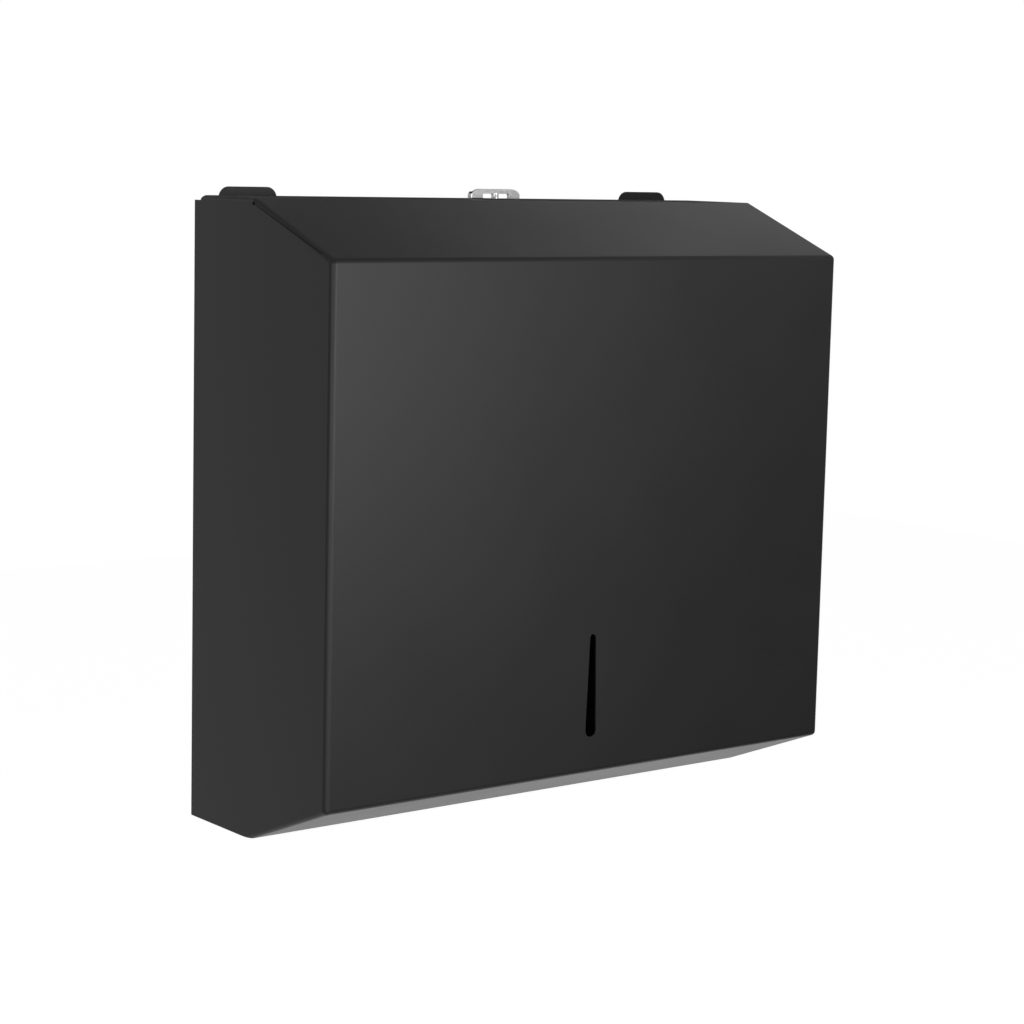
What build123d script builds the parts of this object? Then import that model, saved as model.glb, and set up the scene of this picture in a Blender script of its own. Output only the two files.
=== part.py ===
from build123d import *

"""Wall cabinet that dispenses folded paper towels, as separate sheet-metal and latch pieces.

Millimetres. X runs along the wall, the wall is the plane Y = 0 and the cover's front faces -Y, Z is up.
The origin is the centre of the four wall holes, in the wall plane. Depths are written as positive
distances from the wall, so a depth d lies at Y = -d.
"""
import os
from math import cos, hypot, radians

# ---- Cover: one folded sheet, open towards the wall and below ----
WIDTH = 280.0
HEIGHT = 272.0
DEPTH = 108.0
TOP_FOLD = 49.0  # depth of the fold between the top panel and the upper slope
UPPER_SLOPE_DROP = 23.0
LOWER_SLOPE_RISE = 23.0
BOTTOM_FOLD = 50.5  # depth of the fold at the lower slope's rear edge
BOTTOM_RETURN = 6.0  # stiffening flange behind that fold
COVER_SHEET = 1.0
FOLD_RADIUS = 2.3  # outside radius of the folds
REAR_GAP = 2.0  # wall to the side panels' rear edges
TOP_REAR_GAP = 6.8  # wall to the top panel's rear edge
REAR_NOTCH = 2.1  # step down of the side panels' rear top corners
NOTCH_ROUND = 2.0  # radius of the top panel's rear corners in side view
SEAM_WIDTH = 0.4
SEAM_DEPTH = 0.3
SEAM_END = 8.0  # length near the front fold where the seam is ground away
SEAM_DROP = 0.8  # below the slope's fold, where the seam would meet the front fold
SEAM_INSET = 0.55  # inwards there, along the rounded fold
RELIEF_HOLE_RADIUS = 0.8

# ---- Sight slot in the front panel, narrow end up ----
SLOT_BOTTOM = 41.85  # centre of the wide round end, above the cover's bottom
SLOT_LENGTH = 41.3  # between the centres of its two round ends
SLOT_WIDE_RADIUS = 3.05
SLOT_NARROW_RADIUS = 1.7

# ---- Back plate: a shallow pan on the wall ----
BACK_SHEET = 1.2
PAN_BEND_RADIUS = 1.1  # outside radius of the pan's bends
BEND_RELIEF_WIDTH = 1.5
BEND_RELIEF_DEPTH = 3.0
PAN_GAP = 2.0  # between the cover's side panels and the pan's side flanges
PAN_RISE = 1.2  # the pan's lower edge above the cover's bottom
TOP_FLANGE_GAP = 2.0  # under the cover's top panel
TOP_FLANGE_DEPTH = 14.0
TOP_FLANGE_END_GAP = 7.6  # between the top flange and the tabs
SIDE_FLANGE_DEPTH = 8.0
TAB_WIDTH = 29.0
TAB_SETBACK = 27.4  # side of the cover to the middle of a tab
TAB_RISE = 3.7  # above the cover's top panel
TAB_RADIUS = 5.0
WALL_HOLE_RADIUS = 3.0
WALL_HOLE_SPACING_X = 200.0
WALL_HOLE_SPACING_Z = 180.0

# ---- Hinge at the lower rear corners ----
HINGE_SETBACK = 14.0  # axis in front of the wall
HINGE_RISE = 7.0  # axis above the cover's bottom
OPEN_ANGLE = 80.0
WALL_CLEARANCE = 0.3
STUD_RADIUS = 2.5
STUD_BASE_RADIUS = 4.5
RUNNING_CLEARANCE = 0.05
BUSH_FLANGE = 1.0
BUSH_FLANGE_RADIUS = 5.0
BUSH_WALL = 1.1
BUSH_FIT = 0.05  # between a bush and its ear
BUSH_INNER_LIP = 0.6  # barrel past the ear, towards the inside
SIDE_PLAY = 0.3
RING_THICKNESS = 0.6
RING_RADIUS = 4.0
RING_SETBACK = 0.5  # stud end past the ring
STOP_PIN_RADIUS = 1.5
STOP_PIN_GAP = 2.2  # round the hinge ear
STOP_PIN_PAST = 0.8  # past the ear's inner face
STOP_CLEARANCE = 0.15
NOSE_PAST = 1.0  # ear's nose past the stop pin, forwards

# ---- Towel tray: fixed shelf under the stack ----
TRAY_SHEET = 1.0
TRAY_GAP = 1.0  # above the cover's return flange
TRAY_FRONT_GAP = 2.5
TRAY_SLOPE_GAP = 2.0
TRAY_STUD_GAP = 1.3  # tray's sides to the hinge studs' ends
TRAY_REAR_FLANGE = 20.0
TRAY_LIP = 9.0
TRAY_SIDE_HEIGHT = 12.0
THROAT_END = 27.5  # tray's side to the throat's end
THROAT_NEAR = 13.0  # wall to the throat
THROAT_FAR_GAP = 5.5  # throat to the cover's bottom fold
THROAT_CORNER = 12.0

# ---- Towel guides ----
GUIDE_SHEET = 1.0
GUIDE_GAP = 5.3  # to the pan's side flange
GUIDE_BASE = 14.0
GUIDE_DEPTH = 70.0
GUIDE_FOOT_GAP = 37.0  # above the tray's floor
GUIDE_TOP_GAP = 39.0  # below the pan's top
GUIDE_CORNER = 15.0
GUIDE_BEND_RADIUS = 1.5

# ---- Rivets ----
RIVET_RADIUS = 1.95
RIVET_CLEARANCE = 0.05
RIVET_HEAD_RADIUS = 3.5
RIVET_HEAD_HEIGHT = 1.2
RIVET_HEAD_ROUND = 0.95
TRAY_RIVET_RISE = 13.0  # above the tray's floor
TRAY_RIVET_INSET = 17.5  # tray's side to its outer rivets
TRAY_RIVET_PITCH = 65.0  # outer to inner rivets
GUIDE_RIVET_END = 20.0  # from each end of a guide

# ---- Quarter-turn latch in the top panel ----
LATCH_FROM_FOLD = 19.0  # spindle axis behind the top fold
SPINDLE_RADIUS = 2.4
POST_RADIUS = 1.6  # the spindle's upper end, above the bushing
BARREL_RADIUS = 6.0
BARREL_CLEARANCE = 0.1
BUSHING_PLATE_RADIUS = 11.0
BUSHING_PLATE = 0.3
BUSHING_PLATE_CHAMFER = 0.15
BUSHING_LENGTH = 17.0  # below the top panel's outer face
WASHER_THICKNESS = 1.0
WASHER_RADIUS = 10.0
NUT_ACROSS_FLATS = 17.0
NUT_THICKNESS = 5.0
THREAD_CLEARANCE = 0.05
CAM_THICKNESS = 2.0
CAM_PLAY = 0.2  # under the bushing
CAM_REACH = 15.0
CAM_HUB_RADIUS = 6.0
CAM_TIP_RADIUS = 4.0
TANG_WIDTH = 3.2
TANG_CLEARANCE = 0.05
CAM_WASHER_RADIUS = 4.5
CAM_WASHER_THICKNESS = 0.8
CAM_SCREW_RADIUS = 1.1
CAM_SCREW_LENGTH = 6.0
CAM_SCREW_HEAD_RADIUS = 2.8
CAM_SCREW_HEAD = 1.9
CAM_SCREW_ROUND = 0.95
RECESS_LENGTH = 3.3
RECESS_WIDTH = 0.55
RECESS_DEPTH = 0.95

# ---- Latch wing ----
WING_LENGTH = 27.6
WING_SHEET = 1.2
WING_TOP = 4.6  # above the top panel
WING_PLAY = 0.2  # above the bushing's round plate
WING_CORNER_LENGTH = 5.6  # the upper corners are quarter ellipses
WING_CORNER_DROP = 3.1
WING_EDGE = 0.3
WING_RETURN = 1.5  # ends turned towards the wall
WINDOW_WIDTH = 5.7
WINDOW_TOP = 2.5  # above the top panel
WINDOW_CORNER = 0.6
POST_TOP = 2.7  # above the top panel
WING_PIN_RADIUS = 0.5
WING_PIN_RISE = 1.5  # above the top panel

# ---- Keeper on the back plate ----
KEEPER_SHEET = 1.5
KEEPER_BEND = 0.8  # inside radius
KEEPER_SIDE_GAP = 2.0  # cam hub to the keeper
KEEPER_ARM = 12.0
KEEPER_BASE = 26.0
KEEPER_DROP = 17.0
KEEPER_GAP = 1.8  # arm to cam
KEEPER_LIP_GAP = 1.2  # lip to the locked cam
KEEPER_LIP_OVERLAP = 0.5  # lip past the cam's upper face
KEEPER_RIVET_PITCH = 16.0
KEEPER_RIVET_DROP = 10.5

# ---- Rubber buffers under the top panel ----
BUFFER_WIDTH = 12.0
BUFFER_DEPTH = 6.0
BUFFER_GAP = 0.25
BUFFER_X = 60.0
BUFFER_CORNER = 1.5

# ---- Places that follow from the sizes above ----
SIDES = (-1, 1)
TOP = HEIGHT / 2
BOTTOM = -HEIGHT / 2
COVER_INNER = WIDTH / 2 - COVER_SHEET
PAN_HALF = COVER_INNER - PAN_GAP
PAN_BOTTOM = BOTTOM + PAN_RISE
PAN_TOP = TOP - COVER_SHEET - TOP_FLANGE_GAP
TAB_X = WIDTH / 2 - TAB_SETBACK
TOP_FLANGE_HALF = TAB_X - TAB_WIDTH / 2 - TOP_FLANGE_END_GAP
HINGE_Y = -HINGE_SETBACK
HINGE_Z = BOTTOM + HINGE_RISE
EAR_INNER = PAN_HALF - BACK_SHEET
EAR_RADIUS = HINGE_RISE - PAN_RISE
BUSH_RADIUS = STUD_RADIUS + RUNNING_CLEARANCE + BUSH_WALL
BUSH_END = EAR_INNER - BUSH_INNER_LIP
RING_OUTER = BUSH_END - SIDE_PLAY
RING_INNER = RING_OUTER - RING_THICKNESS
STUD_END = RING_INNER - RING_SETBACK
STOP_RADIUS = EAR_RADIUS + STOP_PIN_GAP + STOP_PIN_RADIUS
TRAY_HALF = STUD_END - TRAY_STUD_GAP
TRAY_BOTTOM = BOTTOM + COVER_SHEET + TRAY_GAP
TRAY_FLOOR = TRAY_BOTTOM + TRAY_SHEET
GUIDE_OUTER = EAR_INNER - GUIDE_GAP
GUIDE_INNER = GUIDE_OUTER - GUIDE_SHEET
GUIDE_FOOT = TRAY_FLOOR + GUIDE_FOOT_GAP
GUIDE_HEAD = PAN_TOP - GUIDE_TOP_GAP
LATCH_Y = LATCH_FROM_FOLD - TOP_FOLD
WASHER_TOP = TOP - COVER_SHEET
NUT_TOP = WASHER_TOP - WASHER_THICKNESS
CAM_TOP = TOP - BUSHING_LENGTH - CAM_PLAY
CAM_BOTTOM = CAM_TOP - CAM_THICKNESS
SCREW_SEAT = CAM_BOTTOM - CAM_WASHER_THICKNESS
WING_FOOT = TOP + BUSHING_PLATE + WING_PLAY
WING_FRONT = LATCH_Y - WING_SHEET / 2
WING_BACK = LATCH_Y + WING_SHEET / 2
KEEPER_INNER = CAM_HUB_RADIUS + KEEPER_SIDE_GAP
KEEPER_ARM_TOP = CAM_BOTTOM - KEEPER_GAP


def slab(x, y, z):
    """Box between two limits along each axis."""
    block = Box(x[1] - x[0], y[1] - y[0], z[1] - z[0])
    return Pos((x[0] + x[1]) / 2, (y[0] + y[1]) / 2, (z[0] + z[1]) / 2) * block


def rod(radius, start, end):
    """Round bar between two points."""
    span = Vector(*end) - Vector(*start)
    bar = Cylinder(radius, span.length, align=(Align.CENTER, Align.CENTER, Align.MIN))
    return Plane(origin=start, z_dir=span) * bar


def hinge_rod(radius, start_x, end_x):
    """Round bar on the hinge axis."""
    return rod(radius, (start_x, HINGE_Y, HINGE_Z), (end_x, HINGE_Y, HINGE_Z))


def latch_rod(radius, start_z, end_z):
    """Round bar on the latch axis."""
    return rod(radius, (0, LATCH_Y, start_z), (0, LATCH_Y, end_z))


def across(face, x):
    """Solid of a (y, z) face between two X positions."""
    middle = (x[0] + x[1]) / 2
    return Pos(middle, 0, 0) * extrude(Plane.YZ * face, abs(x[1] - x[0]) / 2, both=True)


def upwards(face, low, high):
    """Solid of an (x, y) face between two heights."""
    return extrude(Pos(0, 0, low) * face, high - low, dir=(0, 0, 1))


def polygon(points):
    """Face inside a closed run of points."""
    return make_face(Polyline(*points, close=True))


def round_top(width, height, radius):
    """Rectangle with its two upper corners rounded."""
    upper = Rectangle(width, height).vertices().sort_by(Axis.Y)[-2:]
    return fillet(upper, radius)


def bent_strip(points, thickness, radius):
    """Sheet seen on edge: points trace one face, the thickness is on their left."""
    path = [Vector(*p) for p in points]
    normals = []
    for start, end in zip(path, path[1:]):
        run = (end - start).normalized()
        normals.append(Vector(-run.Y, run.X))
    far_side = [path[0] + normals[0] * thickness]
    for corner, before, after in zip(path[1:-1], normals, normals[1:]):
        mitre = (before + after) / (1 + before.dot(after))
        far_side.append(corner + mitre * thickness)
    far_side.append(path[-1] + normals[-1] * thickness)
    strip = polygon([(p.X, p.Y) for p in path + far_side[::-1]])
    for index in range(1, len(path) - 1):
        left_turn = normals[index - 1].cross(normals[index]).Z > 0
        outer, inner = (path, far_side) if left_turn else (far_side, path)
        for corner, size in ((outer[index], radius + thickness), (inner[index], radius)):
            strip = fillet(strip.vertices().sort_by_distance(corner)[0], size)
    return strip


# ---- Cover body ----


def cover_block(inset):
    """Outline of the cover as a solid, moved inwards by inset, with its folds rounded."""
    beyond = DEPTH
    outline = polygon(
        [
            (beyond, BOTTOM),
            (beyond, TOP),
            (-TOP_FOLD, TOP),
            (-DEPTH, TOP - UPPER_SLOPE_DROP),
            (-DEPTH, BOTTOM + LOWER_SLOPE_RISE),
            (-BOTTOM_FOLD, BOTTOM),
        ]
    )
    if inset:
        outline = offset(outline, -inset, kind=Kind.INTERSECTION)
    half = WIDTH / 2 - inset
    block = across(outline, (-half, half))
    folds = []
    for edge in block.edges():
        middle = edge.center()
        open_below = middle.Z < 0 and middle.Y > inset - BOTTOM_FOLD
        if middle.Y < beyond / 2 and not open_below:
            folds.append(edge)
    return fillet(folds, FOLD_RADIUS - inset)


def sight_slot():
    """Tapered slot through the front panel, a hull of its two round ends."""
    lean = (SLOT_WIDE_RADIUS - SLOT_NARROW_RADIUS) / SLOT_LENGTH
    level = (1 - lean**2) ** 0.5
    wide = (SLOT_WIDE_RADIUS * level, SLOT_WIDE_RADIUS * lean)
    narrow = (SLOT_NARROW_RADIUS * level, SLOT_LENGTH + SLOT_NARROW_RADIUS * lean)
    flanks = polygon([wide, narrow, (-narrow[0], narrow[1]), (-wide[0], wide[1])])
    ends = Circle(SLOT_WIDE_RADIUS) + Pos(0, SLOT_LENGTH) * Circle(SLOT_NARROW_RADIUS)
    front = Plane(origin=(0, -DEPTH, BOTTOM + SLOT_BOTTOM), x_dir=(1, 0, 0), z_dir=(0, -1, 0))
    return extrude(front * (flanks + ends), 2 * COVER_SHEET, both=True)


def seam_cuts():
    """Weld seam along each side fold of the upper slope, with the relief hole at its upper end."""
    cuts = []
    for side in SIDES:
        start = Vector(side * WIDTH / 2, -TOP_FOLD, TOP - FOLD_RADIUS)
        end = Vector(side * (WIDTH / 2 - SEAM_INSET), -DEPTH, TOP - UPPER_SLOPE_DROP - SEAM_DROP)
        run = end - start
        length = run.length - SEAM_END
        groove = Box(2 * SEAM_DEPTH, SEAM_WIDTH, length, align=(Align.CENTER, Align.CENTER, Align.MIN))
        cuts.append(Plane(origin=start, x_dir=(1, 0, 0), z_dir=run) * groove)
        inside, outside = side * (COVER_INNER - COVER_SHEET), side * WIDTH
        cuts.append(rod(RELIEF_HOLE_RADIUS, (inside, start.Y, start.Z), (outside, start.Y, start.Z)))
    return cuts


def rear_corner_cuts():
    """Rounding of the top panel's rear corners and of the side panels' rear lower corners."""
    wide = (-WIDTH, WIDTH)
    y = -TOP_REAR_GAP - NOTCH_ROUND
    z = TOP - NOTCH_ROUND
    upper = slab(wide, (y, 0), (z, HEIGHT)) - rod(NOTCH_ROUND, (-WIDTH, y, z), (WIDTH, y, z))
    middle = WIDTH / 2 - FOLD_RADIUS
    upper -= slab((-middle, middle), (y, 0), (z, HEIGHT))
    lower = slab(wide, (HINGE_Y, 0), (-HEIGHT, HINGE_Z))
    return [upper, lower - hinge_rod(HINGE_SETBACK - WALL_CLEARANCE, -WIDTH, WIDTH)]


def make_front_cover():
    """Folded and welded shell: front, two slopes, top panel and side panels."""
    shell = cover_block(0) - cover_block(COVER_SHEET)
    wide = (-WIDTH, WIDTH)
    shell -= slab(wide, (-REAR_GAP, 2 * DEPTH), (-HEIGHT, HEIGHT))
    shell -= slab(wide, (-TOP_REAR_GAP, 0), (TOP - REAR_NOTCH, HEIGHT))
    below = (-HEIGHT, BOTTOM + LOWER_SLOPE_RISE)
    shell -= slab((-COVER_INNER, COVER_INNER), (BOTTOM_RETURN - BOTTOM_FOLD, 0), below)
    for cut in [sight_slot()] + seam_cuts() + rear_corner_cuts():
        shell -= cut
    return shell - latch_rod(BARREL_RADIUS + BARREL_CLEARANCE, TOP - FOLD_RADIUS, TOP + FOLD_RADIUS)


def make_hinge_stud(side):
    """Pivot with a round base, welded to the inside of a side panel."""
    base = PAN_HALF + BUSH_FLANGE + SIDE_PLAY
    stud = hinge_rod(STUD_BASE_RADIUS, side * COVER_INNER, side * base)
    return stud + hinge_rod(STUD_RADIUS, side * base, side * STUD_END)


def make_retaining_ring(side):
    """Push-on ring that keeps a stud in its bush."""
    x = (side * RING_INNER, side * RING_OUTER)
    return hinge_rod(RING_RADIUS, *x) - hinge_rod(STUD_RADIUS, *x)


def make_stop_pin(side):
    """Pin inside a side panel that lands on the ear's nose when the cover is open."""
    z = HINGE_Z + STOP_RADIUS
    end = EAR_INNER - STOP_PIN_PAST
    return rod(STOP_PIN_RADIUS, (side * COVER_INNER, HINGE_Y, z), (side * end, HINGE_Y, z))


def make_lock_bushing():
    """Thin round plate on the top panel with a barrel that reaches down through it."""
    plate = latch_rod(BUSHING_PLATE_RADIUS, TOP, TOP + BUSHING_PLATE)
    rim = plate.edges().filter_by(GeomType.CIRCLE).sort_by(Axis.Z)[-1]
    plate = chamfer(rim, BUSHING_PLATE_CHAMFER)
    barrel = latch_rod(BARREL_RADIUS, TOP - BUSHING_LENGTH, TOP)
    bore = latch_rod(SPINDLE_RADIUS + RUNNING_CLEARANCE, BOTTOM, TOP + RUNNING_CLEARANCE)
    return plate + barrel - bore - latch_rod(POST_RADIUS + RUNNING_CLEARANCE, BOTTOM, HEIGHT)


def make_lock_washer():
    """Washer between the top panel and the nut."""
    hole = latch_rod(BARREL_RADIUS + BARREL_CLEARANCE, WASHER_TOP, NUT_TOP)
    return latch_rod(WASHER_RADIUS, WASHER_TOP, NUT_TOP) - hole


def make_lock_nut():
    """Hexagon nut on the bushing's barrel."""
    hexagon = RegularPolygon(NUT_ACROSS_FLATS / 2, 6, major_radius=False)
    ring = Pos(0, LATCH_Y) * (hexagon - Circle(BARREL_RADIUS + THREAD_CLEARANCE))
    return upwards(ring, NUT_TOP - NUT_THICKNESS, NUT_TOP)


# ---- Latch body ----


def wing_pin_bar():
    """Round bar through the spindle's top, across the wing."""
    z = TOP + WING_PIN_RISE
    return rod(WING_PIN_RADIUS, (0, LATCH_Y - POST_RADIUS, z), (0, LATCH_Y + POST_RADIUS, z))


def make_latch_spindle():
    """Round post: thinner and slotted at the top for the wing, square and bored at the bottom for the cam."""
    post = latch_rod(SPINDLE_RADIUS, CAM_TOP, TOP) + latch_rod(POST_RADIUS, TOP, TOP + POST_TOP)
    tang = Pos(0, LATCH_Y) * Rectangle(TANG_WIDTH, TANG_WIDTH)
    post += upwards(tang, CAM_BOTTOM + TANG_CLEARANCE, CAM_TOP)
    post -= slab((-WING_LENGTH, WING_LENGTH), (WING_FRONT, WING_BACK), (WING_FOOT, HEIGHT))
    post -= latch_rod(CAM_SCREW_RADIUS + THREAD_CLEARANCE, CAM_BOTTOM, CAM_BOTTOM + CAM_SCREW_LENGTH)
    return post - wing_pin_bar()


def wing_plan():
    """Wing seen from above: a straight bar with its two ends turned towards the wall."""
    rear = WING_BACK + WING_RETURN
    whole = Pos(0, (WING_FRONT + rear) / 2) * Rectangle(WING_LENGTH, rear - WING_FRONT)
    between = Rectangle(WING_LENGTH - 2 * WING_SHEET, WING_RETURN)
    plan = whole - Pos(0, WING_BACK + WING_RETURN / 2) * between
    front_corners = plan.vertices().sort_by(Axis.Y)[:2]
    return fillet(front_corners, WING_EDGE)


def wing_outline(height):
    """Wing seen from the front, with its foot at zero: a rectangle with elliptical upper corners."""
    length, drop = WING_CORNER_LENGTH, WING_CORNER_DROP
    low = height - drop
    outline = Pos(0, low / 2) * Rectangle(WING_LENGTH, low)
    outline += Pos(0, height / 2) * Rectangle(WING_LENGTH - 2 * length, height)
    for side in SIDES:
        outline += Pos(side * (WING_LENGTH / 2 - length), low) * Ellipse(length, drop)
    return outline


def wing_windows():
    """The two openings between the wing's outer feet and its post."""
    height = WING_TOP + WINDOW_TOP
    pane = round_top(WINDOW_WIDTH, height, WINDOW_CORNER)
    z = TOP + WINDOW_TOP - height / 2
    bars = []
    for side in SIDES:
        x = side * (POST_RADIUS + WINDOW_WIDTH / 2)
        face = Plane(origin=(x, LATCH_Y, z), x_dir=(1, 0, 0), z_dir=(0, -1, 0)) * pane
        bars.append(extrude(face, WING_RETURN, both=True))
    return bars


def make_latch_wing():
    """Finger wing: a bar on three feet with two windows and turned ends."""
    top = TOP + WING_TOP
    wing = upwards(wing_plan(), WING_FOOT, top)
    foot = Plane(origin=(0, LATCH_Y, WING_FOOT), x_dir=(1, 0, 0), z_dir=(0, -1, 0))
    wing &= extrude(foot * wing_outline(top - WING_FOOT), WING_LENGTH, both=True)
    for window in wing_windows():
        wing -= window
    return wing - wing_pin_bar()


def make_latch_cam():
    """Flat arm on the spindle's square, pointing at the wall while the cover is unlocked."""
    hub = Circle(CAM_HUB_RADIUS)
    tip = Pos(0, CAM_REACH - CAM_TIP_RADIUS) * Circle(CAM_TIP_RADIUS)
    square = TANG_WIDTH + 2 * TANG_CLEARANCE
    arm = make_hull((hub + tip).edges()) - Rectangle(square, square)
    return upwards(Pos(0, LATCH_Y) * arm, CAM_BOTTOM, CAM_TOP)


def make_cam_washer():
    """Washer under the cam."""
    hole = latch_rod(CAM_SCREW_RADIUS + 2 * THREAD_CLEARANCE, SCREW_SEAT, CAM_BOTTOM)
    return latch_rod(CAM_WASHER_RADIUS, SCREW_SEAT, CAM_BOTTOM) - hole


def make_cam_screw():
    """Round-head screw with a cross recess, up into the spindle."""
    low = SCREW_SEAT - CAM_SCREW_HEAD
    head = latch_rod(CAM_SCREW_HEAD_RADIUS, low, SCREW_SEAT)
    rim = head.edges().filter_by(GeomType.CIRCLE).sort_by(Axis.Z)[0]
    head = fillet(rim, CAM_SCREW_ROUND)
    cross = Rectangle(RECESS_LENGTH, RECESS_WIDTH) + Rectangle(RECESS_WIDTH, RECESS_LENGTH)
    head -= upwards(Pos(0, LATCH_Y) * cross, low, low + RECESS_DEPTH)
    return head + latch_rod(CAM_SCREW_RADIUS, SCREW_SEAT, CAM_BOTTOM + CAM_SCREW_LENGTH - THREAD_CLEARANCE)


# ---- Wall body ----


def ear_face():
    """Hinge ear in side view: a lug round the axis with a nose that the stop pin lands on."""
    landing = HINGE_Z + STOP_RADIUS * cos(radians(OPEN_ANGLE)) - STOP_PIN_RADIUS - STOP_CLEARANCE
    nose_front = HINGE_Y - STOP_RADIUS - STOP_PIN_RADIUS - NOSE_PAST
    low, high = HINGE_Z - EAR_RADIUS, HINGE_Z + EAR_RADIUS
    nose = polygon([(nose_front, low), (nose_front, landing), (HINGE_Y, landing), (HINGE_Y, low)])
    root = polygon([(0, low), (0, high), (HINGE_Y, high), (HINGE_Y, low)])
    return nose + root + Pos(HINGE_Y, HINGE_Z) * Circle(EAR_RADIUS)


def tray_rivet_places():
    """(x, z) of the rivets through the tray's rear flange."""
    outer = TRAY_HALF - TRAY_RIVET_INSET
    z = TRAY_FLOOR + TRAY_RIVET_RISE
    return [(side * x, z) for side in SIDES for x in (outer, outer - TRAY_RIVET_PITCH)]


def guide_rivet_places():
    """(x, z) of the rivets through the guides' bases."""
    x = GUIDE_OUTER - GUIDE_BASE / 2
    heights = (GUIDE_FOOT + GUIDE_RIVET_END, GUIDE_HEAD - GUIDE_RIVET_END)
    return [(side * x, z) for side in SIDES for z in heights]


def keeper_rivet_places():
    """(x, z) of the rivets through the keeper's base."""
    middle = KEEPER_INNER + KEEPER_BASE / 2
    z = KEEPER_ARM_TOP - KEEPER_RIVET_DROP
    return [(middle + side * KEEPER_RIVET_PITCH / 2, z) for side in SIDES]


def rivet_holes(places):
    """Bars that cut rivet holes through everything near the wall."""
    radius = RIVET_RADIUS + RIVET_CLEARANCE
    return [rod(radius, (x, BACK_SHEET, z), (x, -SIDE_FLANGE_DEPTH, z)) for x, z in places]


def wall_sheet():
    """The back plate's flat sheet, with its two tabs and the bend reliefs of the top flange."""
    sheet = Pos(0, (PAN_TOP + PAN_BOTTOM) / 2) * Rectangle(2 * PAN_HALF, PAN_TOP - PAN_BOTTOM)
    rise = TOP + TAB_RISE - PAN_TOP
    for side in SIDES:
        sheet += Pos(side * TAB_X, PAN_TOP + rise / 2) * round_top(TAB_WIDTH, rise, TAB_RADIUS)
        middle = side * (TOP_FLANGE_HALF + BEND_RELIEF_WIDTH / 2)
        sheet -= Pos(middle, PAN_TOP) * Rectangle(BEND_RELIEF_WIDTH, 2 * BEND_RELIEF_DEPTH)
    return extrude(Plane.XZ * sheet, BACK_SHEET, dir=(0, -1, 0))


def round_pan_bends(pan):
    """Round the outside of the bends between the wall sheet and its flanges."""
    bends = []
    for edge in pan.edges():
        middle = edge.center()
        on_wall = abs(middle.Y) < PAN_BEND_RADIUS / 2
        beside = abs(abs(middle.X) - PAN_HALF) < PAN_BEND_RADIUS / 2 and edge.length > HEIGHT / 2
        above = abs(middle.Z - PAN_TOP) < PAN_BEND_RADIUS / 2 and edge.length > TOP_FLANGE_HALF
        if on_wall and (beside or above):
            bends.append(edge)
    return fillet(bends, PAN_BEND_RADIUS)


def make_back_plate():
    """Pan: wall sheet with tabs, side flanges with hinge ears, and a top flange between the tabs."""
    pan = wall_sheet()
    shoulder = (-SIDE_FLANGE_DEPTH, PAN_TOP - SIDE_FLANGE_DEPTH)
    flange = polygon([(0, PAN_BOTTOM), (0, PAN_TOP), shoulder, (-SIDE_FLANGE_DEPTH, PAN_BOTTOM)])
    for side in SIDES:
        pan += across(flange + ear_face(), (side * EAR_INNER, side * PAN_HALF))
    pan += slab((-TOP_FLANGE_HALF, TOP_FLANGE_HALF), (-TOP_FLANGE_DEPTH, 0), (PAN_TOP - BACK_SHEET, PAN_TOP))
    pan = round_pan_bends(pan)
    pan -= hinge_rod(BUSH_RADIUS + BUSH_FIT, -WIDTH, WIDTH)
    for x in (-WALL_HOLE_SPACING_X / 2, WALL_HOLE_SPACING_X / 2):
        for z in (-WALL_HOLE_SPACING_Z / 2, WALL_HOLE_SPACING_Z / 2):
            pan -= rod(WALL_HOLE_RADIUS, (x, BACK_SHEET, z), (x, -2 * BACK_SHEET, z))
    for hole in rivet_holes(tray_rivet_places() + guide_rivet_places() + keeper_rivet_places()):
        pan -= hole
    return pan


def make_hinge_bush(side):
    """Flanged plastic bush in an ear."""
    flange = hinge_rod(BUSH_FLANGE_RADIUS, side * PAN_HALF, side * (PAN_HALF + BUSH_FLANGE))
    barrel = hinge_rod(BUSH_RADIUS, side * BUSH_END, side * PAN_HALF)
    return flange + barrel - hinge_rod(STUD_RADIUS + RUNNING_CLEARANCE, 0, side * WIDTH)


def tray_underside():
    """(y, z) points of the tray's underside, from the wall to the front lip."""
    slope = LOWER_SLOPE_RISE / (DEPTH - BOTTOM_FOLD)
    lift = (COVER_SHEET + TRAY_SLOPE_GAP) * hypot(1, slope)
    slope_start = -BOTTOM_FOLD - (TRAY_BOTTOM - BOTTOM - lift) / slope
    front = COVER_SHEET + TRAY_FRONT_GAP - DEPTH
    corner = TRAY_BOTTOM + (slope_start - front) * slope
    return [
        (-BACK_SHEET, TRAY_BOTTOM + TRAY_REAR_FLANGE),
        (-BACK_SHEET, TRAY_BOTTOM),
        (slope_start, TRAY_BOTTOM),
        (front, corner),
        (front, corner + TRAY_LIP),
    ]


def make_towel_tray():
    """Shelf bent from one sheet, with low side walls and the throat that towels leave by."""
    under = tray_underside()
    tray = across(bent_strip(under[::-1], TRAY_SHEET, TRAY_SHEET), (-TRAY_HALF, TRAY_HALF))
    rear, low, front, lip = under[1:]
    high = [(y, z + TRAY_SIDE_HEIGHT) for y, z in (low, rear)]
    for side in SIDES:
        wall = polygon([rear, low, front, lip] + high)
        tray += across(wall, (side * (TRAY_HALF - TRAY_SHEET), side * TRAY_HALF))
    far = BOTTOM_FOLD - THROAT_FAR_GAP
    throat = RectangleRounded(2 * (TRAY_HALF - THROAT_END), far - THROAT_NEAR, THROAT_CORNER)
    tray -= upwards(Pos(0, -(far + THROAT_NEAR) / 2) * throat, BOTTOM, TRAY_FLOOR + TRAY_SHEET)
    for hole in rivet_holes(tray_rivet_places()):
        tray -= hole
    return tray


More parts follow.
